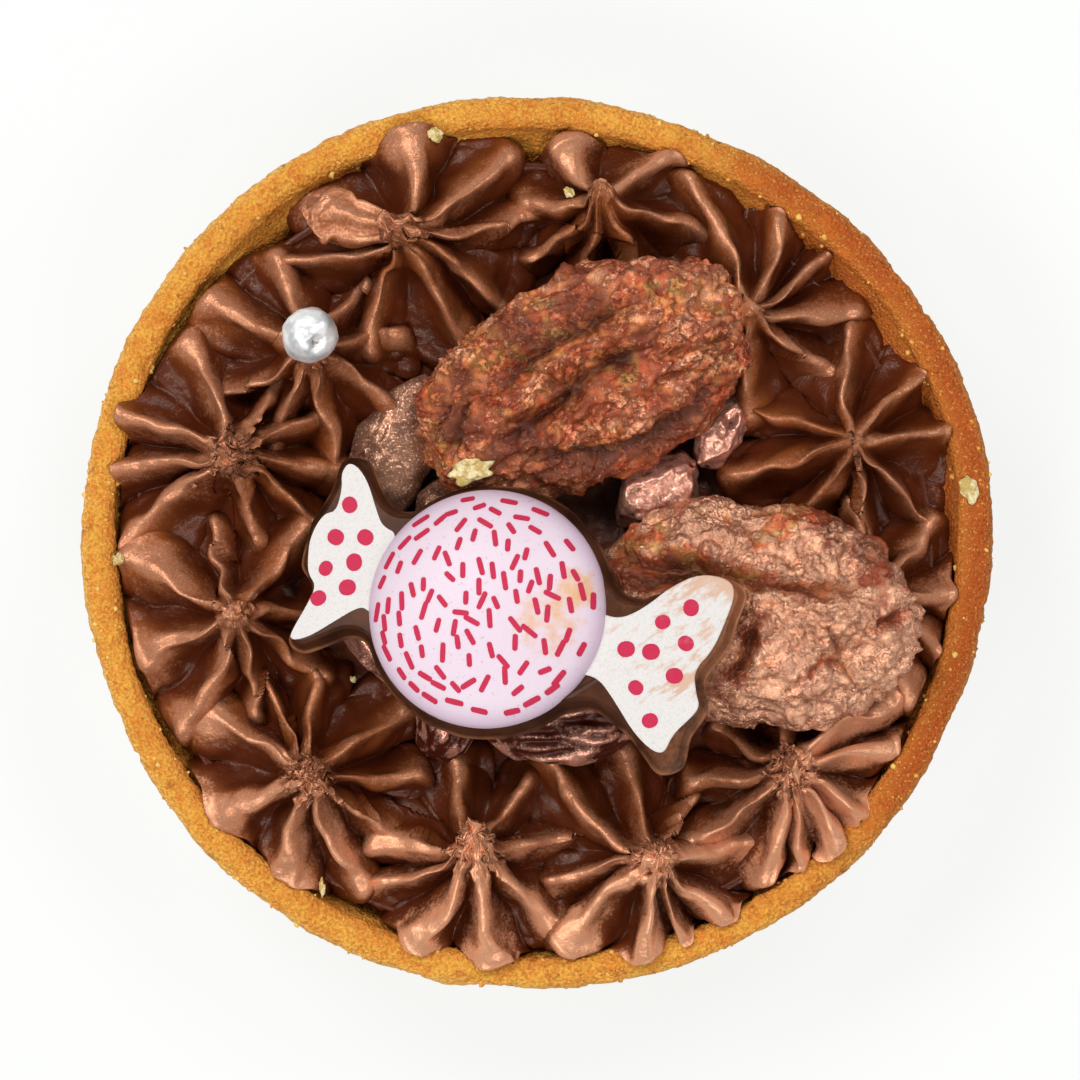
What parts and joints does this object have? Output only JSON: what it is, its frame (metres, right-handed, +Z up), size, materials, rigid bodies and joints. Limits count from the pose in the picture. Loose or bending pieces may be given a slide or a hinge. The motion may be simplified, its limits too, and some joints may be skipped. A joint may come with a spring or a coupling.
{
  "type": "praline tart",
  "caption": "Small round chocolate praline tart in a shortcrust case, topped with star-piped ganache rosettes, candied pecans, bronzed nuts and a sweet-shaped plaque.",
  "frame": {"origin": "centre of the pastry case's flat underside, at the level the tart stands on", "axes": "+Z up, +X towards the larger bronzed pecan at the plaque's wide end, +Y towards the rosettes behind the other pecan"},
  "size_m": [0.0809, 0.0793, 0.0303],
  "materials": {
    "shortcrust": "baked golden shortcrust, matte and sandy",
    "ganache": "milk chocolate ganache, satin with a bronze shimmer on its ridges",
    "candied_pecan": "caramelised nut with copper dust, uneven gloss",
    "bronzed_nut": "nut brushed with rosy bronze dust",
    "chocolate_plaque": "moulded chocolate, satin, with a pink and white printed face",
    "silver_pearl": "silver-coated sugar pearl, dented and half matte"
  },
  "bodies": {
    "root": {"case": "shortcrust", "filling": "ganache", "rosette_01": "ganache", "rosette_02": "ganache", "rosette_03": "ganache", "rosette_04": "ganache", "rosette_05": "ganache", "rosette_06": "ganache", "rosette_07": "ganache", "rosette_08": "ganache", "rosette_09": "ganache", "rosette_10": "ganache", "rosette_11": "ganache", "rosette_12": "ganache", "pecan_1": "candied_pecan", "pecan_2": "candied_pecan", "nut_1": "bronzed_nut", "nut_2": "bronzed_nut", "nut_3": "bronzed_nut", "nut_4": "bronzed_nut", "nut_5": "bronzed_nut", "nut_6": "bronzed_nut", "nut_7": "bronzed_nut", "plaque": "chocolate_plaque", "pearl": "silver_pearl"}
  },
  "joints": []
}
